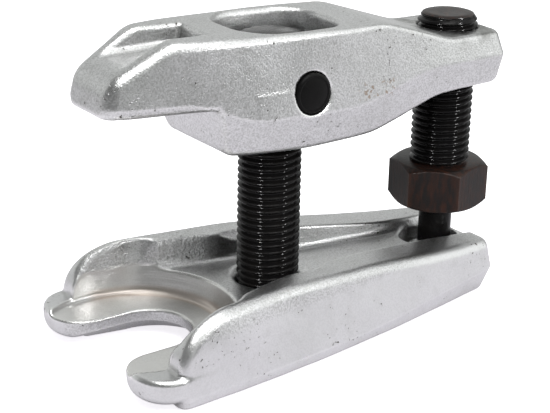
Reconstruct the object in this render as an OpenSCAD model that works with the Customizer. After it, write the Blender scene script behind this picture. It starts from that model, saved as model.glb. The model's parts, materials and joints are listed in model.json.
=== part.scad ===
// Ball joint separator: a forged fork and a forged lever on an adjustable
// threaded spindle, with a pressure screw at the back.
// The fork's opening points to -X, the spindle stands on the Z axis, and the
// fork's flat underside is at z = 0. All sizes are in millimetres.

/* [Layout] */
// Distance from the spindle's axis back to the pressure screw's axis
screw_x = 78.3; // [78:0.1:79]
// Height of the pivot pin above the fork's underside
pivot_z = 90; // [89:0.5:96]

/* [Thread and hexagon] */
// Outside diameter of both threaded rods
thread_d = 21.9; // [21.5:0.1:21.9]
// Pitch of both threads
pitch = 2.5; // [2:0.5:3]
// Depth of the thread form
thread_depth = 1.45; // [1:0.05:1.6]
// Radial clearance of each rod and pin in its bore
clearance = 0.05; // [0.02:0.01:0.1]
// Width across the flats of the screw's hexagon
hex_af = 32; // [30:0.5:34]
// Height of the hexagon
hex_h = 16.2; // [14:0.1:18]
// Turn of the hexagon about the screw's axis
hex_turn = 13; // [0:1:59]

/* [Fork] */
// Width of the U-shaped slot
slot_w = 30; // [24:1:31]
// Centre of the slot's round end, along X
slot_end_x = -49.2; // [-51:0.1:-48]
// Height of the machined seat round the slot
seat_z = 10; // [9:0.5:11]
// Radius of the machined seat
seat_r = 32; // [31:0.5:33]
// Centre of the machined seat, along X
seat_x = -54.5; // [-56:0.5:-54]
// Height of the two prong tips
lip_z = 12; // [11.5:0.5:13]
// Height of the web round the spindle
web_z = 18.5; // [17:0.5:20]
// Height of the two ribs at their front
rib_z = 28.8; // [27:0.1:31]
// Height of the two ribs at the back end
rib_rear_z = 19; // [18.5:0.5:21]
// Rear end of the fork
fork_rear_x = 88.8; // [88.6:0.1:90]
// Radius of each end of the pocket for the screw's nose
pocket_r = 9; // [8:0.5:9]

/* [Lever] */
// Top of the lever above the pivot, at the front of its flat top
top_rise = 21; // [20.5:0.5:23]
// Depth of the lever's middle boss below the pivot
boss_drop = 20.5; // [19:0.5:22]
// Height of the flat top round the pressure screw, above the pivot
rear_rise = 8; // [7:0.5:9]
// Length of the window for the spindle
window_l = 39; // [37:1:42]
// Width of the window for the spindle
window_w = 31; // [26:1:31]
// Diameter of the pivot pin's bore
pin_bore_d = 14; // [12:0.5:15]
// Floor of the front trough above the pivot
trough_rise = 13.7; // [12:0.1:16]

/* [Spindle and screw] */
// Top of the spindle above the pivot
spindle_rise = 15; // [13:0.5:17]
// Top of the screw above the pivot
screw_rise = 12.4; // [11:0.1:16]
// Top of the hexagon below the pivot
hex_drop = 43.5; // [38:0.5:46]
// Diameter of the screw's smooth nose
nose_d = 12.4; // [11:0.1:13]
// Diameter of the ball in the nose
ball_d = 10; // [9:0.5:10]

/* [Hidden] */
$fn = 96;

// Overshoot of a cut past the face it opens, and thickness of a hull's slices.
slack = 1;
skin = 0.01;
rod_chamfer = 0.6;
thread_r = thread_d / 2;
rod_bore_r = thread_r + clearance;
pin_bore_r = pin_bore_d / 2;
pin_r = pin_bore_r - clearance;

// Fork: the envelope's half outlines, from the front to the back.
fork_base = [[-61.5, 36], [-57, 40.4], [-35, 39.3], [4, 35.6],
             [36, 31.1], [63, 26.7], [82, 23.2], [85.5, 20]];
fork_waist = [[-63, 37], [-58, 41], [-35, 40.3], [4, 36.6],
              [36, 32.2], [63, 28], [85, 23.8], [fork_rear_x, 20]];
fork_top = [[-62, 38], [-48, 37], [fork_rear_x - 1, 17.5]];
fork_waist_z = 6;
fork_bottom_bevel = 8;
bevel_z = 6;
rib_front_x = -60.5;
rib_full_x = -40;
rib_inner = [[-80, 31.4], [-48, 31.4], [-40, 29.7], [-30, 25.5], [-21, 22.4],
             [-2, 18.8], [28, 14], [60, 9.6], [95, 10.4]];
web_rear_drop = 2;
web_level_x = -20;
web_rear_x = 64;
tip_c = [-62.3, 28];
tip_r = 9.5;
tip_under_z = 2.5;
tip_root_x = -57;
tip_root_l = 8;
tip_outer_y = 40.6;
seat_chamfer = 2.8;
spindle_sink = 2;
pocket_front_x = 64;
pocket_rear_x = fork_rear_x - 2.2;

// Lever: the envelope's half outlines at three heights, and its side profile.
lever_waist = [[-71, 9.5], [-35, 21.8], [-20, 24.2], [0, 24.6],
               [20, 24.2], [60, 20.4], [88, 20.2], [92.5, 16]];
lever_top = [[-69, 7.5], [-61, 10.5], [-46, 14.3], [-28, 17.3],
             [0, 19.4], [33, 18.5], [87, 16.2], [91, 12]];
lever_bottom = [[-69, 8], [-30, 17.5], [0, 19.7], [30, 19.8],
                [60, 18.5], [87, 17.5], [90, 14]];
lever_waist_z = pivot_z - 3;
lever_tip_x = -71;
lever_rear_x = 92.5;
lever_crease = [33.3, 18.3];
window_x = 1.2;
window_corner_r = 12;
trough_x = [-62, -32];
trough_half = 7.6;

// The ball and the nose that holds it.
ball_r = ball_d / 2;
ball_gap = 0.1;
ball_z = seat_z + ball_gap + ball_r;
nose_z = ball_z - 0.5 * ball_r;
hex_z = pivot_z - hex_drop - hex_h;

// A half outline and its mirror image, as one closed outline.
function both(half) =
    concat(half, [for (i = [len(half) - 1 : -1 : 0]) [half[i].x, -half[i].y]]);

// A quarter of an ellipse from start to end, leaving start straight up.
function quarter(start, end, steps = 12) =
    [for (i = [0 : steps])
        [start.x + (end.x - start.x) * (1 - cos(90 * i / steps)),
         start.y + (end.y - start.y) * sin(90 * i / steps)]];

// The outline of a thread: ridges one pitch apart, between two heights.
function ridges(low, high) =
    let (count = floor((high - low) / pitch), root_r = thread_r - thread_depth)
    [for (i = [0 : count - 1], point = [[root_r, 0.08], [thread_r, 0.44],
                                        [thread_r, 0.56], [root_r, 0.92]])
        [point.x, low + (i + point.y) * pitch]];

// A flat slice of an envelope at one height.
module slice(half, z) {
    translate([0, 0, z]) linear_extrude(skin) polygon(both(half));
}

// A side profile, given as [x, z] points, through the whole width.
module across(profile, width) {
    rotate([90, 0, 0])
        linear_extrude(width, center = true) polygon(profile);
}

// A threaded rod standing on the Z axis, with a chamfer at its top end.
module threaded_rod(low, high) {
    root_r = thread_r - thread_depth;
    end_r = root_r - rod_chamfer;
    rotate_extrude() polygon(concat(
        [[0, low], [end_r, low]],
        ridges(low, high),
        [[root_r, high - rod_chamfer], [end_r, high], [0, high]]));
}

// The block that both fork slot cuts share: a round end and two long sides.
module u_slot(low_half, high_half, low, high) {
    translate([slot_end_x, 0, low])
        cylinder(h = high - low, r1 = low_half, r2 = high_half);
    translate([slot_end_x, 0, 0]) rotate([0, -90, 0]) linear_extrude(40)
        polygon([[low, -low_half], [low, low_half],
                 [high, high_half], [high, -high_half]]);
}

// The two rounded prong tips that reach forward past the ribs.
module prong_tips() {
    tip_h = lip_z - tip_under_z;
    root_w = tip_outer_y - slot_w / 2;
    for (side = [-1, 1])
        hull() {
            translate([tip_c.x, side * tip_c.y, tip_under_z])
                cylinder(h = tip_h, r = tip_r, $fn = 32);
            translate([tip_root_x, side * (slot_w / 2 + root_w / 2), tip_under_z + tip_h / 2])
                cube([tip_root_l, root_w, tip_h], center = true);
        }
}

// The fork's solid outside, before anything is cut.
module fork_envelope() {
    hull() {
        slice(fork_base, 0);
        slice(fork_waist, fork_waist_z);
        slice(fork_top, rib_z - skin);
    }
    prong_tips();
}

// Everything above the ribs and the prong tips.
module above_ribs() {
    across(concat(
        [[-90, lip_z], [rib_front_x, lip_z]],
        quarter([rib_front_x, lip_z], [rib_full_x, rib_z]),
        [[0, rib_z - 0.8], [28, rib_z - 3.5], [60, rib_z - 7.6],
         [fork_rear_x + slack, rib_rear_z], [fork_rear_x + slack, 60], [-90, 60]]),
        100);
}

// The channel between the ribs, down to the sloping web.
module rib_channel() {
    web_rear_z = web_z - web_rear_drop;
    intersection() {
        linear_extrude(60) polygon(both(rib_inner));
        across([[-90, web_z], [web_level_x, web_z], [web_rear_x, web_rear_z],
                [100, web_rear_z], [100, 60], [-90, 60]], 100);
    }
}

// The round machined seat, with its top edge opened out towards the web.
module seat() {
    translate([seat_x, 0, seat_z]) cylinder(h = 40, r = seat_r);
    intersection() {
        translate([seat_x, 0, web_z - 1.5])
            cylinder(h = 1.5 + skin, r1 = seat_r, r2 = seat_r + seat_chamfer);
        translate([-34, -30, 0]) cube([60, 60, 60]);
    }
}

module lower_fork() {
    color("silver") difference() {
        fork_envelope();
        above_ribs();
        rib_channel();
        seat();
        u_slot(slot_w / 2, slot_w / 2, -slack, 60);
        u_slot(slot_w / 2 + fork_bottom_bevel, slot_w / 2, -skin, bevel_z);
        translate([0, 0, -slack]) cylinder(h = 40, r = rod_bore_r);
        translate([0, 0, web_z - spindle_sink])
            cylinder(h = spindle_sink + slack, r1 = rod_bore_r, r2 = rod_bore_r + 2.5);
        for (x = [pocket_front_x + pocket_r, pocket_rear_x - pocket_r])
            translate([x, 0, seat_z]) cylinder(h = 40, r = pocket_r);
        translate([pocket_front_x + pocket_r, -pocket_r, seat_z])
            cube([pocket_rear_x - pocket_front_x - 2 * pocket_r, 2 * pocket_r, 40]);
    }
}

// The spindle's head is plain where the pivot pin goes through it.
module adjusting_spindle() {
    head_z = pivot_z - 14;
    top_z = pivot_z + spindle_rise;
    edge = 1;
    color([0.09, 0.09, 0.1]) difference() {
        union() {
            threaded_rod(0, head_z);
            translate([0, 0, head_z - rod_chamfer])
                cylinder(h = top_z - edge - head_z + rod_chamfer, r = thread_r);
            translate([0, 0, top_z - edge])
                cylinder(h = edge, r1 = thread_r, r2 = thread_r - edge);
        }
        translate([0, 0, pivot_z]) rotate([90, 0, 0])
            cylinder(h = 40, r = pin_bore_r, center = true);
    }
}

// The lever's side view, closed at the rear boss, the middle boss and the tip.
module lever_profile() {
    rear_under = 11;
    tip_under = 1;
    across([
        [lever_tip_x, pivot_z + 1], [lever_tip_x + 2, pivot_z + 11],
        [-45.8, pivot_z + top_rise],
        [lever_crease.x, pivot_z + lever_crease.y], [66, pivot_z + rear_rise],
        [lever_rear_x, pivot_z + rear_rise], [lever_rear_x, pivot_z - 1],
        [lever_rear_x - 2, pivot_z - rear_under], [70, pivot_z - rear_under],
        [59, pivot_z - rear_under - 1.2], [45, pivot_z - boss_drop + 4],
        [32, pivot_z - boss_drop], [0, pivot_z - boss_drop],
        [-27, pivot_z - boss_drop + 2], [-31, pivot_z - boss_drop + 5],
        [-35, pivot_z - tip_under], [lever_tip_x + 2, pivot_z - tip_under]], 60);
}

// The trough between the two ridges of the lever's front.
module front_trough() {
    floor_z = pivot_z + trough_rise;
    across([
        [lever_tip_x + 1, pivot_z + 11], [trough_x[0], floor_z],
        [trough_x[1], floor_z], [trough_x[1] + 1.5, floor_z + 20],
        [lever_tip_x + 1, floor_z + 20]], 2 * trough_half);
}

// The window that the spindle's head tilts in.
module spindle_window() {
    half_l = window_l / 2;
    half_w = window_w / 2;
    corner = window_corner_r;
    translate([window_x, 0, pivot_z - 40]) {
        for (x = [corner - half_l, half_l - corner], y = [corner - half_w, half_w - corner])
            translate([x, y, 0]) cylinder(h = 80, r = corner);
        translate([-half_l, corner - half_w, 0]) cube([window_l, window_w - 2 * corner, 80]);
        translate([corner - half_l, -half_w, 0]) cube([window_l - 2 * corner, window_w, 80]);
    }
}

module upper_lever() {
    color("silver") difference() {
        intersection() {
            hull() {
                slice(lever_bottom, pivot_z - boss_drop - slack);
                slice(lever_waist, lever_waist_z);
                slice(lever_top, pivot_z + top_rise + slack);
            }
            lever_profile();
        }
        front_trough();
        spindle_window();
        translate([0, 0, pivot_z]) rotate([90, 0, 0])
            cylinder(h = 60, r = pin_bore_r, center = true);
        translate([screw_x, 0, pivot_z - 30]) cylinder(h = 60, r = rod_bore_r);
        translate([screw_x, 0, pivot_z + rear_rise - 1])
            cylinder(h = 1 + skin, r1 = rod_bore_r, r2 = rod_bore_r + 1);
    }
}

module pivot_pin() {
    half = 23.8;
    edge = 0.8;
    color([0.1, 0.1, 0.11]) translate([0, 0, pivot_z]) rotate([90, 0, 0])
        rotate_extrude() polygon([[0, -half], [pin_r - edge, -half], [pin_r, edge - half],
                                  [pin_r, half - edge], [pin_r - edge, half], [0, half]]);
}

// The screw's hexagon, with both ends chamfered to a circle.
module screw_hexagon() {
    corner_r = hex_af / sqrt(3);
    flat_r = hex_af / 2 - 0.4;
    bevel = (corner_r - flat_r) * 0.55;
    intersection() {
        rotate([0, 0, hex_turn]) cylinder(h = hex_h, r = corner_r, $fn = 6);
        rotate_extrude() polygon([[0, 0], [flat_r, 0], [corner_r, bevel],
                                  [corner_r, hex_h - bevel], [flat_r, hex_h], [0, hex_h]]);
    }
}

module pressure_screw() {
    nose_r = nose_d / 2;
    hex_top = hex_z + hex_h;
    color([0.13, 0.1, 0.09]) translate([screw_x, 0, 0]) difference() {
        union() {
            threaded_rod(hex_top - 0.1, pivot_z + screw_rise);
            translate([0, 0, hex_z]) screw_hexagon();
            translate([0, 0, nose_z + 1]) cylinder(h = hex_z - nose_z, r = nose_r);
            translate([0, 0, nose_z]) cylinder(h = 1, r1 = nose_r - 0.8, r2 = nose_r);
        }
        translate([0, 0, ball_z]) sphere(r = ball_r + clearance);
    }
}

module thrust_ball() {
    color([0.6, 0.6, 0.62]) translate([screw_x, 0, ball_z]) sphere(r = ball_r);
}

lower_fork();
adjusting_spindle();
upper_lever();
pivot_pin();
pressure_screw();
thrust_ball();
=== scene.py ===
"""Ball joint separator: the looks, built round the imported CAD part.

The fork and the lever are forgings, so each is described as a solid by one distance function in millimetres,
with true round edges and fillets, and then skinned with quads. The two threaded rods and the pin are turned
parts, so each is skinned from rings. X runs from the fork's opening to the back, and Z is up.
"""

import json
import math

import bpy
import numpy as np
from mathutils import Matrix, Vector


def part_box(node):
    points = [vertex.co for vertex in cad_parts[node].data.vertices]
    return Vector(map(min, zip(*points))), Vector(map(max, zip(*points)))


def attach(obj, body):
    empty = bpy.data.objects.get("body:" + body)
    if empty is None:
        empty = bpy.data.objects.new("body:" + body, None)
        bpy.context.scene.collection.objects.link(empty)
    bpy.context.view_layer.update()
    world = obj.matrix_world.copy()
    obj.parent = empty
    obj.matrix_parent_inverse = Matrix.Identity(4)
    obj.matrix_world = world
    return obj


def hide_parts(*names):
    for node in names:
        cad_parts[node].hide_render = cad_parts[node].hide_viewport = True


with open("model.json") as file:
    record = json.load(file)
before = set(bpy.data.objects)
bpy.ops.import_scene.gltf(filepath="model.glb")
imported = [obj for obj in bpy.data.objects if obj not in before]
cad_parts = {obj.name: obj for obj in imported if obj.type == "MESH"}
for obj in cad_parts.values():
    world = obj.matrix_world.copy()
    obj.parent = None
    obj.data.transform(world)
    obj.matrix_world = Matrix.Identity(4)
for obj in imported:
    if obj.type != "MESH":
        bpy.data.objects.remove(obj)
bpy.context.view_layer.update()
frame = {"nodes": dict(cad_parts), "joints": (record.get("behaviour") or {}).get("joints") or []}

MM = 0.001
JOINTS = {joint["name"]: joint for joint in frame["joints"]}


def box_mm(node):
    """The lowest and the highest corner of a CAD node, in millimetres."""
    low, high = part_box(node)
    return np.array(low) / MM, np.array(high) / MM


FORK_LO, FORK_HI = box_mm("lower_fork")
LEVER_LO, LEVER_HI = box_mm("upper_lever")
ROD_LO, ROD_HI = box_mm("adjusting_spindle")
SCREW_LO, SCREW_HI = box_mm("pressure_screw")
PIN_LO, PIN_HI = box_mm("pivot_pin")
PIVOT_Z = JOINTS["lever_tilt"]["pos_m"][2] / MM
SCREW_X = JOINTS["screw_turn"]["pos_m"][0] / MM
ROD_R = ROD_HI[1]
PIN_R = (PIN_HI[2] - PIN_LO[2]) / 2
PIN_VISIBLE_R = PIN_R - 0.2
RUNNING_GAP = 0.08


# ---------------------------------------------------------------- shape tools


def eased(x, points, reach):
    """Straight lines through a few (x, value) points, with each corner eased over reach either side."""
    at, value = np.array(points, float).T
    shifts = np.linspace(-reach, reach, 7)
    return sum(np.interp(x + shift, at, value) for shift in shifts) / len(shifts)


def ramp(x, start, end):
    """0 before start and 1 after end, with a smooth change between them."""
    t = np.clip((x - start) / (end - start), 0, 1)
    return t * t * (3 - 2 * t)


def both(a, b, r):
    """What two solids share, with the edge between them rounded to radius r."""
    corner = np.hypot(np.maximum(r + a, 0), np.maximum(r + b, 0))
    return np.minimum(-r, np.maximum(a, b)) + corner


def either(a, b, r):
    """Two solids joined, with a fillet of radius r in the corner between them."""
    corner = np.hypot(np.maximum(r - a, 0), np.maximum(r - b, 0))
    return np.maximum(r, np.minimum(a, b)) - corner


def cut(a, hole, r):
    """Solid a with a hole taken out, and the hole's edge rounded to radius r."""
    return both(a, -hole, r)


def wobble(x, y, z, height):
    """The slight unevenness that a forging die leaves, as a sum of slow waves."""
    total = 0.0
    for k in range(7):
        turn = 2.4 * k
        rate = 0.14 + 0.055 * k
        along = x * math.cos(turn) + y * math.sin(turn) + z * math.cos(1.7 * turn)
        total = total + np.sin(rate * along + 1.9 * k) / (1 + 0.3 * k)
    return height * total


def grid_cells(distance, low, high, step):
    """Samples distance on a grid round a box, symmetric in y, and returns the grid's axes and values."""
    axes = []
    for i in range(3):
        if i == 1:
            half = step * (math.ceil(max(-low[1], high[1]) / step) + 1.5)
            axes.append(np.arange(-half, half + step / 2, step))
        else:
            axes.append(np.arange(low[i] - 2 * step, high[i] + 2.5 * step, step))
    x, y, z = np.meshgrid(*axes, indexing="ij", sparse=True)
    return axes, distance(x, y, z)


def surface_net(distance, low, high, step):
    """Quads round the zero level of distance: one point in each cell that the surface crosses."""
    axes, value = grid_cells(distance, low, high, step)
    inside = value < 0
    cells = tuple(n - 1 for n in value.shape)
    place = np.zeros(cells + (3,))
    count = np.zeros(cells)
    crossings = []
    for a in range(3):
        first = [slice(None)] * 3
        second = [slice(None)] * 3
        first[a], second[a] = slice(None, -1), slice(1, None)
        v0, v1 = value[tuple(first)], value[tuple(second)]
        crosses = inside[tuple(first)] != inside[tuple(second)]
        share = np.where(crosses, v0 / np.where(crosses, v0 - v1, 1), 0)
        crossings.append((crosses, inside[tuple(first)]))
        u, v = (a + 1) % 3, (a + 2) % 3
        for du in (0, 1):
            for dv in (0, 1):
                part = [slice(None)] * 3
                part[u] = slice(du, du + cells[u])
                part[v] = slice(dv, dv + cells[v])
                here = crosses[tuple(part)]
                place[..., a] += share[tuple(part)]
                place[..., u] += du * here
                place[..., v] += dv * here
                count += here
    used = count > 0
    number = np.full(cells, -1)
    number[used] = np.arange(used.sum())
    start = np.array([axis[0] for axis in axes])
    points = start + step * (np.argwhere(used) + place[used] / count[used][:, None])
    quads = []
    for a, (crosses, solid_first) in enumerate(crossings):
        u, v = (a + 1) % 3, (a + 2) % 3
        at = np.argwhere(crosses)
        corners = []
        for du, dv in ((1, 1), (0, 1), (0, 0), (1, 0)):
            cell = at.copy()
            cell[:, u] -= du
            cell[:, v] -= dv
            corners.append(number[tuple(cell.T)])
        loop = np.stack(corners, 1)
        outward = solid_first[tuple(at.T)]
        loop[~outward] = loop[~outward][:, ::-1]
        quads.append(loop)
    return points, np.concatenate(quads)


def settle(points, distance, longest):
    """Moves each point straight onto the surface that distance describes."""
    h = 0.04
    for _ in range(3):
        x, y, z = points.T
        slope = np.stack([
            distance(x + h, y, z) - distance(x - h, y, z),
            distance(x, y + h, z) - distance(x, y - h, z),
            distance(x, y, z + h) - distance(x, y, z - h),
        ], 1) / (2 * h)
        steep = np.maximum((slope ** 2).sum(1), 0.05)
        move = -slope * (distance(x, y, z) / steep)[:, None]
        size = np.linalg.norm(move, axis=1)
        points = points + move * np.minimum(1, longest / np.maximum(size, 1e-9))[:, None]
    return points


def relax(points, quads):
    """Moves each point half of the way to the middle of its neighbours, to even the quads out."""
    total = np.zeros_like(points)
    count = np.zeros(len(points))
    for k in range(4):
        here, there = quads[:, k], quads[:, (k + 1) % 4]
        for i, j in ((here, there), (there, here)):
            for axis in range(3):
                total[:, axis] += np.bincount(i, points[j, axis], len(points))
            count += np.bincount(i, minlength=len(points))
    return (points + total / count[:, None]) / 2


def forge(distance, low, high, step):
    """The skin of a forged solid, as points and quads."""
    points, quads = surface_net(distance, low, high, step)
    for _ in range(3):
        points = settle(relax(points, quads), distance, step)
    return points, quads


def rings(radius, height, turn=0.0):
    """The skin of a turned part: rings from the bottom up, with a middle point that closes each end."""
    columns = radius.shape[1]
    angle = turn + np.arange(columns) * 2 * math.pi / columns
    height = np.broadcast_to(height[:, None], radius.shape)
    points = np.stack([radius * np.cos(angle), radius * np.sin(angle), height], 2).reshape(-1, 3)
    row = np.arange(columns)
    after = np.roll(row, -1)
    start = np.arange(len(radius) - 1)[:, None] * columns
    walls = np.stack([start + row, start + after, start + columns + after, start + columns + row], 2)
    low, high = len(points), len(points) + 1
    ends = [[0, 0, height[0].mean()], [0, 0, height[-1].mean()]]
    top = len(points) - columns
    faces = walls.reshape(-1, 4).tolist()
    faces += [(int(b), int(a), low) for a, b in zip(row, after)]
    faces += [(int(top + a), int(top + b), high) for a, b in zip(row, after)]
    return np.concatenate([points, ends]), faces


def add_piece(name, points, faces, material, body, node, sharp_deg=None, masks=None):
    """Makes a smooth-shaded object from millimetre points, in place of a CAD node, riding on a body."""
    mesh = bpy.data.meshes.new(name)
    mesh.from_pydata((np.asarray(points) * MM).tolist(), [], [tuple(f) for f in faces])
    mesh.polygons.foreach_set("use_smooth", [True] * len(mesh.polygons))
    if sharp_deg is not None:
        mesh.set_sharp_from_angle(angle=math.radians(sharp_deg))
    for mask, value in (masks or {}).items():
        mesh.attributes.new(mask, "FLOAT", "POINT").data.foreach_set("value", value.astype(np.float32))
    mesh.materials.append(material)
    mesh.validate()
    piece = bpy.data.objects.new(name, mesh)
    bpy.context.scene.collection.objects.link(piece)
    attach(piece, body)
    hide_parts(node)
    return piece


# ---------------------------------------------------------------- the fork

LIP_Z = 11.8
SEAT_Z = 10.0
SEAT_X = -54.5
SEAT_R = 31.6
SLOT_HALF = 15.0
SLOT_END_X = -49.2
WEB_Z = 18.5
RIB_FRONT_X = -60.7
RIB_FULL_X = -40.0
POCKET_X = (73.0, 77.6)
POCKET_R = 9.0
FORK_SIDE = [(-70, 40.9), (-58, 40.9), (-35, 40.2), (4, 36.6), (36, 32.2), (63, 28), (85, 24), (95, 22.4)]
FORK_SEAM = [(-62, 4.2), (20, 4.6), (88, 9)]
RIB_TOP = [(-45, 28.8), (-25, 28.5), (-2, 27.8), (28, 25.3), (60, 21.1), (76, 19.8), (90, 19)]
RIB_INNER = [(-70, 31.7), (-61, 31.9), (-54, 32.8), (-48, 32.4), (-40, 30.3), (-30, 26.6), (-21, 24),
             (-2, 20.2), (28, 15), (60, 10.6), (76, 10.8), (92, 12)]
WEB_LINE = [(-70, WEB_Z), (-20, WEB_Z), (64, WEB_Z - 2), (95, WEB_Z - 2)]


def fork_body(x, y, z):
    """The outside of the fork's two arms and of the block behind them."""
    seam = eased(x, FORK_SEAM, 10)
    over = np.maximum(z - seam, 0)
    under = np.maximum(seam - z, 0)
    front = ramp(x, -15, -48)
    draft = (0.23 - 0.15 * front) * over + 0.02 * front * np.maximum(z - 17, 0) ** 2
    side = 0.97 * (np.abs(y) - eased(x, FORK_SIDE, 8) + draft + 0.3 * under)
    rear = 0.98 * (x - FORK_HI[0] + 0.1 * over + 0.34 * under)
    walls = both(side, rear, 4.5)
    rise = eased(x, RIB_TOP, 6) - LIP_Z
    ahead = np.maximum(RIB_FULL_X - x, 0) / (RIB_FULL_X - RIB_FRONT_X)
    above = np.maximum(z - LIP_Z, 0) / rise
    crown = (np.hypot(ahead, above) - 1) * rise
    return both(both(walls, crown, 3.2), -z, 1.3)


def fork_tips(x, y, z):
    """The two round prong tips in front of the ribs."""
    ahead = np.minimum(x + 60, 0) / (-60 - FORK_LO[0])
    across = (np.abs(y) - 28 + 0.07 * np.maximum(x + 60, 0)) / 12.8
    plan = (np.hypot(ahead, across) - 1) * 12
    plan = plan + 0.1 * np.maximum(8 - z, 0)
    tips = both(both(plan, z - LIP_Z, 2.0), 2.2 - z, 4.5)
    return np.maximum(tips, x + 46)


def rib_channel(x, y, z):
    """The space between the ribs, down to the web, with a fillet along each side."""
    lean = 0.07 + 0.09 * ramp(x, -46, -18) + 0.14 * ramp(x, 5, 25)
    top = eased(x, RIB_TOP, 6)
    wall = 0.97 * (np.abs(y) - eased(x, RIB_INNER, 4) + lean * (top - z))
    fillet = eased(x, [(-60, 3), (-30, 3.5), (0, 2), (60, 2)], 6)
    return both(wall, eased(x, WEB_LINE, 6) - z, fillet)


def fork_seat(x, y, z):
    """The round seat that is machined into both arms."""
    lean = 0.3 * ramp(x, -50, -32)
    ring = np.hypot(x - SEAT_X, y) - SEAT_R - lean * (z - SEAT_Z)
    return both(ring, SEAT_Z - z, 1.8)


def fork_slot(x, y, z):
    """The slot between the arms, opened out below by a bevel."""
    upper = np.hypot(np.maximum(x - SLOT_END_X, 0), y) - SLOT_HALF
    lower = np.hypot(np.maximum(x + 46, 0), y) - 21 - 0.2 * np.maximum(-46 - x, 0)
    share = np.clip(1 - z / 6, 0, 1)
    return upper * (1 - share) + lower * share


def fork_pocket(x, y, z):
    """The pocket at the back for the pressure screw's nose."""
    middle = np.clip(x, *POCKET_X)
    return both(np.hypot(x - middle, y) - POCKET_R - 0.06 * (z - SEAT_Z), SEAT_Z - z, 1.5)


def fork_solid(x, y, z):
    solid = either(fork_body(x, y, z), fork_tips(x, y, z), 0.8)
    solid = solid + wobble(x, y, z, 0.035)
    solid = cut(solid, rib_channel(x, y, z), eased(x, [(-32, 2.9), (10, 1.0)], 4))
    solid = cut(solid, fork_seat(x, y, z), 0.7)
    solid = cut(solid, fork_slot(x, y, z), 0.9)
    solid = cut(solid, fork_pocket(x, y, z), 1.0)
    away = np.hypot(x, y) - ROD_R - RUNNING_GAP
    solid = cut(solid, away, 0.5)
    sink = both(away - 2.4 - (z - WEB_Z), WEB_Z - 2 - z, 0.3)
    return cut(solid, sink, 0.5)


# ---------------------------------------------------------------- the lever

LEVER_TOP = [(-75, 6.9), (-47.9, 21.4), (33.5, 18.2), (65.4, 8), (100, 7.6)]
LEVER_SEAM = [(-72, 2.6), (-42, 2.2), (-24, -5.5), (0, -6.8), (21, -7.3), (52, -0.2), (95, -0.5)]
LEVER_WAIST = [(-75, 10.5), (-71, 12), (-65, 14.9), (-52, 18), (-35, 21.9), (-20, 24.2), (0, 24.7),
               (20, 24.2), (50, 21.2), (62, 20.2), (95, 19.6)]
LEVER_CREST = [(-75, 10.4), (-61, 12.9), (-53, 14), (-46, 15.8), (-37, 17.8), (-28, 18.6), (0, 20.4),
               (13, 20.9), (33, 19.4), (60, 17.8), (95, 16.8)]
LEVER_UNDER = [(-40, -17.2), (-25, -18.4), (0, -20.2), (31, -20.4), (45, -16.4), (59, -12), (70, -11.3),
               (95, -11)]
BOSS_FRONT_X = -35.0
WINDOW_X = 1.2
WINDOW_HALF = (19.5, 15.8)
WINDOW_CORNER = 12.0
TROUGH_HALF = 7.7
TROUGH_FLOOR = 13.9
TROUGH_BACK_X = -32.6


def lever_walls(x, y, h):
    """The lever's two sides and its back end, above and below the seam."""
    seam = eased(x, LEVER_SEAM, 5)
    top = eased(x, LEVER_TOP, 3)
    waist = eased(x, LEVER_WAIST, 5)
    crest = eased(x, LEVER_CREST, 5)
    up = (h - seam) / np.maximum(top - seam, 4)
    upper = waist + (crest - waist) * up
    lower = waist - eased(x, [(20, 0.38), (60, 0.2)], 8) * (seam - h)
    plate = 0.15 * ramp(x, -22, -21) * ramp(h, 2.8, 2.1) * ramp(x, 0, -14)
    side = 0.98 * (np.abs(y) - np.where(h > seam, upper, lower) - plate)
    rear = 0.98 * (x - LEVER_HI[0] + 1.2 + 0.2 * np.maximum(h - seam, 0) + 0.12 * np.maximum(seam - h, 0))
    return both(side, rear, 5)


def lever_profile(x, h):
    """The lever's lower side: the flat front and the boss that hangs below the pivot."""
    face = 0.95 * (BOSS_FRONT_X + 0.3 * np.maximum(-1.5 - h, 0) - x)
    boss = both(face, eased(x, LEVER_UNDER, 3) - h, 3.5)
    return either(-1 - h, boss, 0.8)


def lever_window(x, y, h):
    """The window that the spindle's head tilts in."""
    dx = np.abs(x - WINDOW_X) - WINDOW_HALF[0] + WINDOW_CORNER
    dy = np.abs(y) - WINDOW_HALF[1] + WINDOW_CORNER
    corner = np.hypot(np.maximum(dx, 0), np.maximum(dy, 0))
    draft = 0.12 * (np.maximum(h, 4) - 15.5)
    return corner + np.minimum(np.maximum(dx, dy), 0) - WINDOW_CORNER - draft


def lever_trough(x, y, h):
    """The trough between the two ridges of the front."""
    sides = both(np.abs(y) - TROUGH_HALF - 0.12 * (h - TROUGH_FLOOR), TROUGH_FLOOR - h, 2.2)
    back = 0.93 * (x - TROUGH_BACK_X - 0.35 * (h - TROUGH_FLOOR))
    return both(sides, back, 1.5)


def lever_solid(x, y, z):
    h = z - PIVOT_Z
    edge = eased(x, [(-45, 3), (-10, 2.2), (35, 1.5)], 5)
    solid = both(lever_walls(x, y, h), 0.93 * (h - eased(x, LEVER_TOP, 3)), edge)
    face = 0.98 * (LEVER_LO[0] + 0.18 * np.maximum(h, 0) - x)
    solid = both(solid, face, 3.8)
    solid = both(solid, lever_profile(x, h), 2.2)
    solid = solid + wobble(x, y, z, 0.03)
    solid = cut(solid, lever_trough(x, y, h), 1.3)
    solid = cut(solid, lever_window(x, y, h), 1.9)
    solid = cut(solid, np.hypot(x, h) - PIN_R - RUNNING_GAP, 0.5)
    return cut(solid, np.hypot(x - SCREW_X, y) - ROD_R - RUNNING_GAP, 0.9)


# ---------------------------------------------------------------- turned parts

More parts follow.
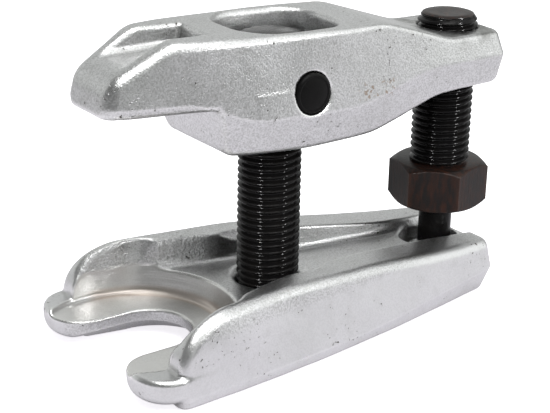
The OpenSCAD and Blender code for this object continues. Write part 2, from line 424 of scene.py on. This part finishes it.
PITCH = 2.5
THREAD_DEPTH = 1.45
ROWS_PER_TURN = 14
COLUMNS = 96
ROOT_R = ROD_R - THREAD_DEPTH
HEX_TURN = math.radians(13)
HEX_FLAT_R = 16.0
HEX_FACE_R = 15.5
HEX_LOW = 30.3
HEX_HIGH = 46.5
HEX_BEVEL_SLOPE = 0.55
BALL_Z = 15.1
CUP_R = 5.08
NOSE_R = 6.2


def thread_radius(height):
    """The radius of a right-hand thread, for each height and each column round it."""
    turn = np.arange(COLUMNS) / COLUMNS
    share = (height[:, None] / PITCH - turn[None, :]) % 1
    rise = np.clip((0.42 - np.abs(share - 0.5)) / 0.35, 0, 1)
    rise = 0.5 * rise + 0.5 * rise * rise * (3 - 2 * rise)
    return ROOT_R + THREAD_DEPTH * rise


def thread_rows(low, high):
    """Ring heights for a thread, with the same number of rows in each turn."""
    return np.arange(low, high, PITCH / ROWS_PER_TURN)


def whole(profile):
    """Rings from (radius, height) pairs that don't change round the part."""
    radius, height = np.array(profile, float).T
    return np.repeat(radius[:, None], COLUMNS, 1), height


def arc(middle_r, middle_z, r, first_deg, last_deg, steps=6):
    """(radius, height) pairs along an arc of a turned part's profile."""
    angle = np.radians(np.linspace(first_deg, last_deg, steps))
    return list(zip(middle_r + r * np.cos(angle), middle_z + r * np.sin(angle)))


def joined(*parts):
    """Stacks several runs of rings into one."""
    return np.concatenate([p[0] for p in parts]), np.concatenate([p[1] for p in parts])


def spindle_skin():
    """The spindle: a thread from its flush end up, and a plain head for the pin."""
    head_z = PIVOT_Z - 14
    low, high = ROD_LO[2], ROD_HI[2]
    rows = thread_rows(low, head_z)
    radius = np.minimum(thread_radius(rows), (ROOT_R - 0.7 + rows - low)[:, None])
    fade = ramp(rows, head_z - 2, head_z)[:, None]
    radius = radius * (1 - fade) + ROD_R * fade
    head = [(ROD_R, head_z), (ROD_R, high - 2)] + arc(ROD_R - 1, high - 1, 1, 0, 90)
    radius, height = joined((radius, rows), whole(head + [(1, high)]))
    return rings(radius, height)


def hexagon_rings():
    """The screw's hexagon, with its corners bevelled to a circle at both ends."""
    angle = np.arange(COLUMNS) * 2 * math.pi / COLUMNS
    flats = HEX_FLAT_R / np.cos(angle % (math.pi / 3) - math.pi / 6)
    bevel = (flats.max() - HEX_FACE_R) * HEX_BEVEL_SLOPE
    inset = np.linspace(0, bevel, 9)
    height = np.concatenate([HEX_LOW + inset, HEX_HIGH - inset[::-1]])
    limit = HEX_FACE_R + np.minimum(height - HEX_LOW, HEX_HIGH - height) / HEX_BEVEL_SLOPE
    return np.minimum(flats[None, :], limit[:, None]), height


def screw_skin():
    """The pressure screw, from the ball's cup in its nose to the bevelled end of its thread."""
    rim_deg = math.degrees(math.asin((SCREW_LO[2] - BALL_Z) / CUP_R))
    nose = arc(0, BALL_Z, CUP_R, 86, rim_deg, 14)
    nose += arc(NOSE_R - 0.8, SCREW_LO[2] + 0.8, 0.8, -90, 0)
    nose += [(NOSE_R, HEX_LOW - 1.2)] + arc(NOSE_R + 0.8, HEX_LOW - 0.8, 0.8, 180, 90)
    neck = [(ROOT_R + 0.4, HEX_HIGH), (ROOT_R, HEX_HIGH + 0.4)]
    end = SCREW_HI[2]
    rows = thread_rows(HEX_HIGH + 0.5, end - 0.2)
    bevel = ROD_R - 0.6 * np.maximum(rows - end + 2.6, 0) ** 1.15
    radius = np.minimum(thread_radius(rows), bevel[:, None])
    face = [(8.87, end - 0.15), (8.6, end), (6.4, end - 0.02), (1, end - 0.06)]
    radius, height = joined(whole(nose), hexagon_rings(), whole(neck), (radius, rows), whole(face))
    points, faces = rings(radius, height, HEX_TURN)
    points[:, 0] += SCREW_X
    on_hexagon = (height >= HEX_LOW) & (height <= HEX_HIGH)
    on_face = height > end - 0.3
    rusty = np.repeat(on_hexagon | on_face, COLUMNS)
    return points, faces, np.append(rusty, [False, True])


def pin_skin():
    """The pivot pin across the lever, with a turned ring on each end and a dark gap round it."""
    half = PIN_HI[1]
    end = [(1, 0), (5.1, 0), (5.35, 0.14), (5.6, 0.14), (5.85, 0)]
    bevel = [(0.8, 0), (0.35, 0.12), (0.1, 0.4), (0, 0.8)]
    end += [(PIN_VISIBLE_R - inset, depth) for inset, depth in bevel]
    profile = [(r, depth - half) for r, depth in end] + [(r, half - depth) for r, depth in end[::-1]]
    radius, height = whole(profile)
    points, faces = rings(radius, height)
    x, y, z = points.T
    return np.stack([x, -z, y + PIVOT_Z], 1), faces


# ---------------------------------------------------------------- materials


class Shading:
    """A node material, with short ways to add the nodes that the finishes below share."""

    def __init__(self, name):
        self.material = bpy.data.materials.new(name)
        self.material.use_nodes = True
        self.tree = self.material.node_tree
        self.shader = self.tree.nodes["Principled BSDF"]
        self.place = self.add("ShaderNodeTexCoord").outputs["Object"]

    def add(self, kind, inputs=None, **settings):
        """Adds a node; an input is either a value or the socket that feeds it."""
        made = self.tree.nodes.new(kind)
        for name, value in settings.items():
            setattr(made, name, value)
        for name, value in (inputs or {}).items():
            if isinstance(value, bpy.types.NodeSocket):
                self.tree.links.new(value, made.inputs[name])
            else:
                made.inputs[name].default_value = value
        return made

    def noise(self, size_mm, detail=2.0, place=None):
        inputs = {"Vector": place or self.place, "Scale": 1 / (size_mm * MM), "Detail": detail}
        return self.add("ShaderNodeTexNoise", inputs).outputs["Fac"]

    def level(self, value, low, high, to_low=0.0, to_high=1.0):
        """Changes value's range from low..high to to_low..to_high, and stops at both ends."""
        inputs = {"Value": value, "From Min": low, "From Max": high, "To Min": to_low, "To Max": to_high}
        return self.add("ShaderNodeMapRange", inputs).outputs["Result"]

    def calc(self, operation, a, b=0.0):
        return self.add("ShaderNodeMath", {0: a, 1: b}, operation=operation).outputs[0]

    def mix(self, share, a, b):
        made = self.add("ShaderNodeMix", {0: share}, data_type="RGBA")
        for index, colour in ((6, a), (7, b)):
            if isinstance(colour, bpy.types.NodeSocket):
                self.tree.links.new(colour, made.inputs[index])
            else:
                made.inputs[index].default_value = (*colour, 1)
        return made.outputs[2]

    def mask(self, name):
        return self.add("ShaderNodeAttribute", attribute_name=name).outputs["Fac"]

    def distance(self, point):
        made = self.add("ShaderNodeVectorMath", {0: self.place, 1: point}, operation="DISTANCE")
        return made.outputs["Value"]

    def pointiness(self):
        return self.add("ShaderNodeNewGeometry").outputs["Pointiness"]

    def bump(self, height, depth_mm, below=None):
        inputs = {"Height": height, "Distance": depth_mm * MM, "Strength": 1.0}
        if below is not None:
            inputs["Normal"] = below
        return self.add("ShaderNodeBump", inputs).outputs["Normal"]

    def finish(self, **sockets):
        """Feeds the shader's inputs, each named with _ for a space."""
        for name, value in sockets.items():
            socket = self.shader.inputs[name.replace("_", " ")]
            if isinstance(value, bpy.types.NodeSocket):
                self.tree.links.new(value, socket)
            else:
                socket.default_value = value
        return self.material


def plated_steel():
    """Zinc-plated forged steel: sandy grain, dark pits, bright worn edges, and a machined seat with rings."""
    s = Shading("plated_forging")
    machined = s.mask("machined")
    ground = s.mask("ground")
    sandy = s.mask("sandy")
    rough_skin = s.calc("SUBTRACT", 1.0, machined)
    grain = s.noise(0.6, 2)
    lumps = s.noise(3.2, 3)
    patches = s.noise(20, 3)
    smears = s.noise(6, 4)
    pit_spots = s.level(s.noise(1.2, 3), 0.64, 0.7)
    pit_areas = s.level(s.noise(12, 2), 0.52, 0.62)
    pit_areas = s.calc("MAXIMUM", pit_areas, s.mask("pitted"))
    pits = s.calc("MULTIPLY", s.calc("MULTIPLY", pit_spots, pit_areas), rough_skin)
    split = s.add("ShaderNodeSeparateXYZ", {0: s.place})
    seat_x = s.calc("SUBTRACT", split.outputs[0], SEAT_X * MM)
    across = s.calc("MULTIPLY", split.outputs[1], split.outputs[1])
    radius = s.calc("SQRT", s.calc("ADD", s.calc("MULTIPLY", seat_x, seat_x), across))
    ring_place = s.add("ShaderNodeCombineXYZ", {0: radius, 1: split.outputs[2]})
    ring_lines = s.noise(0.5, 3, ring_place.outputs[0])
    point = s.pointiness()
    edges = s.level(point, 0.51, 0.55)
    hollows = s.level(point, 0.495, 0.46)
    colour = s.mix(patches, (0.6, 0.605, 0.6), (0.72, 0.715, 0.73))
    colour = s.mix(s.calc("MULTIPLY", s.level(smears, 0.52, 0.75), 0.2), colour, (0.42, 0.415, 0.4))
    grain_share = s.calc("SUBTRACT", 0.5, s.calc("MULTIPLY", ground, 0.36))
    dark_grain = s.calc("MULTIPLY", s.level(grain, 0.6, 0.36), grain_share)
    colour = s.mix(dark_grain, colour, (0.3, 0.3, 0.29))
    # Darker in concave creases, where pointiness is low.
    colour = s.mix(s.calc("MULTIPLY", hollows, 0.4), colour, (0.3, 0.3, 0.29))
    colour = s.mix(s.calc("MULTIPLY", edges, 0.7), colour, (0.88, 0.88, 0.87))
    colour = s.mix(s.calc("MULTIPLY", machined, 0.7), colour, (0.8, 0.79, 0.77))
    # Painted reflection: a warm tint on the seat's fillet ring.
    colour = s.mix(s.calc("MULTIPLY", s.mask("painted_warm_reflection"), 0.6), colour, (0.58, 0.48, 0.41))
    colour = s.mix(s.calc("MULTIPLY", s.mask("oily"), s.level(smears, 0.4, 0.6)), colour, (0.2, 0.2, 0.19))
    brown_spots = s.calc("MULTIPLY", s.mask("stained"), s.level(s.noise(1.4, 4), 0.56, 0.62))
    colour = s.mix(s.calc("MULTIPLY", brown_spots, 0.7), colour, (0.3, 0.21, 0.14))
    colour = s.mix(pits, colour, (0.08, 0.075, 0.065))
    rough = s.level(patches, 0.3, 0.7, 0.28, 0.36)
    rough = s.calc("ADD", rough, s.calc("MULTIPLY", sandy, 0.04))
    rough = s.calc("SUBTRACT", rough, s.calc("MULTIPLY", edges, 0.06))
    grain_depth = s.calc("SUBTRACT", s.calc("MULTIPLY", rough_skin, 0.42), s.calc("MULTIPLY", ground, 0.3))
    normal = s.bump(lumps, 0.08)
    normal = s.bump(s.calc("MULTIPLY", s.noise(0.95, 2), sandy), 0.45, normal)
    normal = s.bump(s.calc("MULTIPLY", grain, grain_depth), 0.3, normal)
    normal = s.bump(s.calc("SUBTRACT", 1.0, pits), 0.15, normal)
    normal = s.bump(s.calc("MULTIPLY", ring_lines, machined), 0.05, normal)
    return s.finish(Metallic=1.0, Base_Color=colour, Roughness=rough, Normal=normal)


def black_oxide(name, rough_low, rough_high):
    """Oiled black oxide: nearly black, with a tight gloss."""
    s = Shading(name)
    patches = s.noise(7, 3)
    fine = s.noise(0.5, 3)
    crests = s.level(s.pointiness(), 0.51, 0.56)
    colour = s.mix(patches, (0.0015, 0.0015, 0.0018), (0.003, 0.0027, 0.0024))
    colour = s.mix(s.calc("MULTIPLY", crests, 0.3), colour, (0.008, 0.0076, 0.007))
    rough = s.level(patches, 0.3, 0.7, rough_low, rough_high)
    normal = s.bump(fine, 0.03)
    return s.finish(Metallic=0.0, Base_Color=colour, Roughness=rough, Normal=normal,
                    Specular_IOR_Level=0.11)


def screw_steel():
    """The pressure screw: black like the spindle, with brown heat marks on its hexagon and its end face."""
    s = Shading("oiled_black_screw")
    brown_part = s.mask("rusty")
    patches = s.noise(6, 4)
    upright = s.add("ShaderNodeMapping", {0: s.place, 3: (1, 1, 0.3)}).outputs[0]
    streaks = s.noise(1.6, 4, upright)
    fine = s.noise(0.5, 3)
    edges = s.level(s.pointiness(), 0.52, 0.58)
    brown = s.calc("MULTIPLY", s.level(streaks, 0.42, 0.7), brown_part)
    colour = s.mix(patches, (0.0015, 0.0015, 0.0018), (0.003, 0.0027, 0.0024))
    colour = s.mix(brown_part, colour, (0.003, 0.0022, 0.002))
    colour = s.mix(s.calc("MULTIPLY", brown, 0.7), colour, (0.013, 0.0042, 0.002))
    worn = s.calc("MULTIPLY", edges, s.calc("MULTIPLY", brown_part, 0.25))
    colour = s.mix(worn, colour, (0.03, 0.012, 0.007))
    rough = s.level(patches, 0.3, 0.7, 0.1, 0.16)
    rough = s.calc("ADD", rough, s.calc("MULTIPLY", brown_part, 0.18))
    normal = s.bump(fine, 0.03)
    normal = s.bump(s.calc("MULTIPLY", streaks, brown_part), 0.06, normal)
    shine = s.calc("ADD", 0.11, s.calc("MULTIPLY", brown_part, 0.04))
    return s.finish(Metallic=0.0, Base_Color=colour, Roughness=rough, Normal=normal,
                    Specular_IOR_Level=shine)


def bearing_steel():
    """The hard polished ball in the screw's nose."""
    s = Shading("bearing_steel")
    marks = s.noise(1.5, 3)
    colour = s.mix(marks, (0.6, 0.6, 0.61), (0.7, 0.7, 0.7))
    rough = s.level(marks, 0.3, 0.7, 0.12, 0.24)
    return s.finish(Metallic=1.0, Base_Color=colour, Roughness=rough)


# ---------------------------------------------------------------- the pieces

FORGING_STEP = 0.7
SHARP_DEG = 40

plated = plated_steel()

points, faces = forge(fork_solid, FORK_LO, FORK_HI, FORGING_STEP)
x, y, z = points.T
in_seat = ramp(fork_seat(x, y, z), 0.5, 0.1) * ramp(z, 20.5, 19.5)
on_ribs = ramp(rib_channel(x, y, z), 1.6, 0.8) * ramp(z, 19.5, 20.5) * ramp(x, -8, -14)
from_middle = np.hypot(x - SEAT_X, y)
# Where the painted warm reflection goes: the seat's fillet near its floor, towards the back.
painted_reflection_ring = in_seat * ramp(z, 13.5, 11.5) * ramp(from_middle, SEAT_R - 3, SEAT_R - 1.5) * ramp(x, -56, -50)
on_side = ramp(fork_body(x, y, z), -0.6, -0.3) * ramp(np.abs(y), 20, 21) * ramp(z, 23, 20)
edge_pits = ramp(np.abs(x + 53 - 0.6 * (z - 12)), 3.5, 1.5) * ramp(np.abs(y), 37, 38.5) * ramp(z, 13, 14)
fork_masks = {"machined": in_seat, "sandy": on_ribs, "painted_warm_reflection": painted_reflection_ring, "ground": on_side, "pitted": edge_pits}
fork = add_piece("fork_forging", points, faces, plated, "fork", "lower_fork", masks=fork_masks)

points, faces = forge(lever_solid, LEVER_LO, LEVER_HI, FORGING_STEP)
x, y, z = points.T
h = z - PIVOT_Z
oily = ramp(np.hypot(x - SCREW_X, y), 24, 13) * ramp(h, 4, 7)
specks = ramp(np.abs(x - 28), 11, 6) * ramp(np.abs(h + 3), 4, 2) * ramp(y, 0, -5)
lever_masks = {"oily": oily, "stained": specks}
lever = add_piece("lever_forging", points, faces, plated, "lever", "upper_lever", masks=lever_masks)

points, faces = spindle_skin()
rod_finish = black_oxide("black_oxide_thread", 0.1, 0.16)
spindle = add_piece("spindle_rod", points, faces, rod_finish, "spindle", "adjusting_spindle", SHARP_DEG)

points, faces, rusty = screw_skin()
screw = add_piece("screw_rod", points, faces, screw_steel(), "screw", "pressure_screw", SHARP_DEG,
                  {"rusty": rusty})

points, faces = pin_skin()
pin_finish = black_oxide("black_pin", 0.42, 0.5)
pin = add_piece("cross_pin", points, faces, pin_finish, "lever", "pivot_pin", SHARP_DEG)

ball = frame["nodes"]["thrust_ball"]
ball.data.materials.clear()
ball.data.materials.append(bearing_steel())

# ---------------------------------------------------------------- studio


def floor_finish():
    """White to the eye; in reflections it glows as painted light, brighter ahead of the prongs, and carries a
    painted shadow that makes it dimmer behind the screw.
    """
    s = Shading("floor_white")
    away = s.add("ShaderNodeVectorMath", {0: s.place}, operation="LENGTH").outputs["Value"]
    ahead = s.distance((-0.15, 0.06, 0))
    behind = s.distance((0.08, 0.14, 0))
    seen = s.add("ShaderNodeLightPath").outputs["Is Camera Ray"]
    # Painted light: for reflections the floor glows, most near the tool and ahead of the prongs; to the eye
    # its glow is even.
    lit = s.calc("ADD", s.level(away, 0.15, 0.8, 0.12, 0.25), s.level(ahead, 0.05, 0.2, 0.15, 0.0))
    glow = s.add("ShaderNodeMix", {0: seen, 2: lit, 3: 0.75}).outputs[0]
    # In reflections the floor is lilac grey and darker farther out, a painted fall-off of light.
    paint = s.mix(s.level(away, 0.2, 0.9), (0.64, 0.62, 0.66), (0.4, 0.4, 0.4))
    # Painted shadow: a dark patch behind the screw, seen only in reflections.
    paint = s.mix(s.level(behind, 0.09, 0.05), paint, (0.12, 0.12, 0.12))
    paint = s.mix(seen, paint, (0.84, 0.84, 0.84))
    s.shader.inputs["Emission Color"].default_value = (0.98, 0.96, 1.0, 1)
    return s.finish(Base_Color=paint, Roughness=0.9, Emission_Strength=glow)


ROOM_BASE = 0.22
ROOM_GLOWS = (
    # direction, cosine where the glow starts, cosine where it is full, strength
    ((0.87, -0.42, 0.28), 0.8, 0.95, 1.1),
    ((0.1, -0.3, 0.95), 0.72, 0.93, 1.35),
    ((0.35, 0.85, 0.35), 0.5, 0.9, 0.5),
    ((-0.6, 0.75, 0.3), 0.9, 0.98, 0.5),
    ((-0.1, -0.93, 0.36), 0.94, 0.99, 0.45),
)


def room_light():
    """A plain studio: dim all round, with the soft glows of ROOM_GLOWS added."""
    world = bpy.data.worlds.new("studio")
    world.use_nodes = True
    tree = world.node_tree
    place = tree.nodes.new("ShaderNodeTexCoord")
    total = None
    for direction, start, full, strength in ROOM_GLOWS:
        facing = tree.nodes.new("ShaderNodeVectorMath")
        facing.operation = "DOT_PRODUCT"
        facing.inputs[1].default_value = Vector(direction).normalized()
        tree.links.new(place.outputs["Generated"], facing.inputs[0])
        level = tree.nodes.new("ShaderNodeMapRange")
        level.interpolation_type = "SMOOTHSTEP"
        for name, value in (("From Min", start), ("From Max", full), ("To Min", 0), ("To Max", strength)):
            level.inputs[name].default_value = value
        tree.links.new(facing.outputs["Value"], level.inputs["Value"])
        sum_node = tree.nodes.new("ShaderNodeMath")
        sum_node.inputs[1].default_value = ROOM_BASE
        if total is not None:
            tree.links.new(total, sum_node.inputs[1])
        tree.links.new(level.outputs["Result"], sum_node.inputs[0])
        total = sum_node.outputs[0]
    back = tree.nodes["Background"]
    back.inputs["Color"].default_value = (0.98, 1.0, 0.985, 1)
    tree.links.new(total, back.inputs["Strength"])
    return world


LAMPS = (
    # name, place in metres, width and height in metres, watts, whether it lights only the rods
    ("over", (-0.15, -0.3, 1.05), 0.6, 0.6, 6.0, False),
    ("key", (0.36, -0.72, 0.5), 0.1, 0.1, 1.0, False),
    ("strip_left", (-0.88, -0.3, 0.45), 0.06, 0.8, 22.0, True),
    ("strip_right", (0.36, -0.82, 0.45), 0.06, 0.8, 22.0, True),
)


def studio():
    scene = bpy.context.scene
    scene.view_settings.view_transform = "Standard"
    bpy.ops.mesh.primitive_plane_add(size=8)
    floor = bpy.context.object
    floor.name = "floor"
    floor.data.materials.append(floor_finish())
    scene.world = room_light()
    rods = bpy.data.collections.new("rods")
    for piece in (spindle, screw):
        rods.objects.link(piece)
    for name, place, width, height, power, only_rods in LAMPS:
        light = bpy.data.lights.new(name, "AREA")
        light.shape = "RECTANGLE"
        light.size, light.size_y = width, height
        light.energy = power
        lamp = bpy.data.objects.new(name, light)
        lamp.location = place
        aim = Vector((0, 0, 0.05)) - lamp.location
        lamp.rotation_euler = aim.to_track_quat("-Z", "Y").to_euler()
        scene.collection.objects.link(lamp)
        if only_rods:
            lamp.light_linking.receiver_collection = rods


CAMERA_PLACE = (-0.2746, -0.3767, 0.2248)
CAMERA_LENS = 94.8
CAMERA_SHIFT = (0.0009, 0.0016)
CAMERA_TURN, CAMERA_RISE, CAMERA_ROLL = (math.radians(v) for v in (-36.34, 21.28, 1.26))


def camera():
    back = Vector((
        math.sin(CAMERA_TURN) * math.cos(CAMERA_RISE),
        -math.cos(CAMERA_TURN) * math.cos(CAMERA_RISE),
        math.sin(CAMERA_RISE),
    ))
    level = Vector((math.cos(CAMERA_TURN), math.sin(CAMERA_TURN), 0))
    up = back.cross(level)
    right = level * math.cos(CAMERA_ROLL) + up * math.sin(CAMERA_ROLL)
    top = up * math.cos(CAMERA_ROLL) - level * math.sin(CAMERA_ROLL)
    data = bpy.data.cameras.new("camera")
    data.lens = CAMERA_LENS
    data.sensor_width = 36
    data.clip_start = 0.01
    data.shift_x, data.shift_y = CAMERA_SHIFT
    shot = bpy.data.objects.new("camera", data)
    shot.matrix_world = Matrix.Translation(CAMERA_PLACE) @ Matrix((right, top, back)).transposed().to_4x4()
    bpy.context.scene.collection.objects.link(shot)
    bpy.context.scene.camera = shot


studio()
camera()
